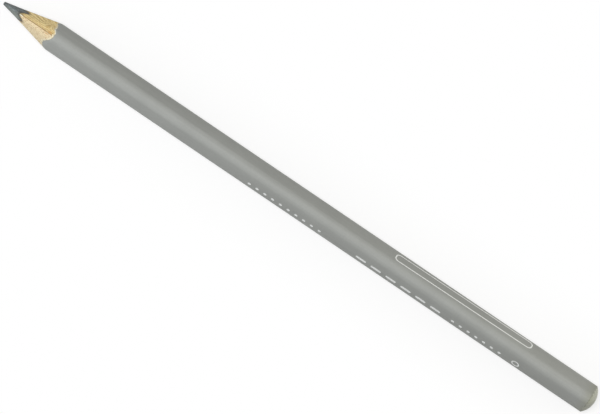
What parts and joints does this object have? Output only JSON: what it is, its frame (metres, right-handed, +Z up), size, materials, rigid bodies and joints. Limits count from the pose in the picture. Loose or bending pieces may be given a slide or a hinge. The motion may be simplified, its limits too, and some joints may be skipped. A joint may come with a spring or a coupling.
{
  "type": "triangular colored pencil",
  "caption": "Triangular wooden colored pencil: round grey pigment core glued between grooved slats, soft grey coats, white foil name frame, domed dipped tail and ground point.",
  "frame": {"origin": "on the flat that the pencil lies on, under the middle of its length and width", "axes": "+X along the pencil from the point to the tail, +Y across it, +Z up, from the flat it lies on to the opposite corner"},
  "size_m": [0.175, 0.0074, 0.007],
  "materials": {
    "pigment_core": "waxy matt pigment, ground",
    "wood_glue": "dried white wood glue",
    "pale_wood": "bare ground softwood, pale",
    "yellow_wood": "bare ground softwood, yellow",
    "ground_lacquer": "pale matt filler coat",
    "colour_lacquer": "grey lacquer",
    "soft_top_coat": "soft matt grey",
    "dip_lacquer": "satin grey dip lacquer",
    "white_foil": "white pigment foil"
  },
  "bodies": {
    "root": {"core": "pigment_core", "glue_film": "wood_glue", "left_slat": "pale_wood", "right_slat": "yellow_wood", "ground_coat": "ground_lacquer", "colour_coat": "colour_lacquer", "grip_coat": "soft_top_coat", "end_dip": "dip_lacquer", "name_frame": "white_foil", "foil_marks": "white_foil"}
  },
  "joints": []
}
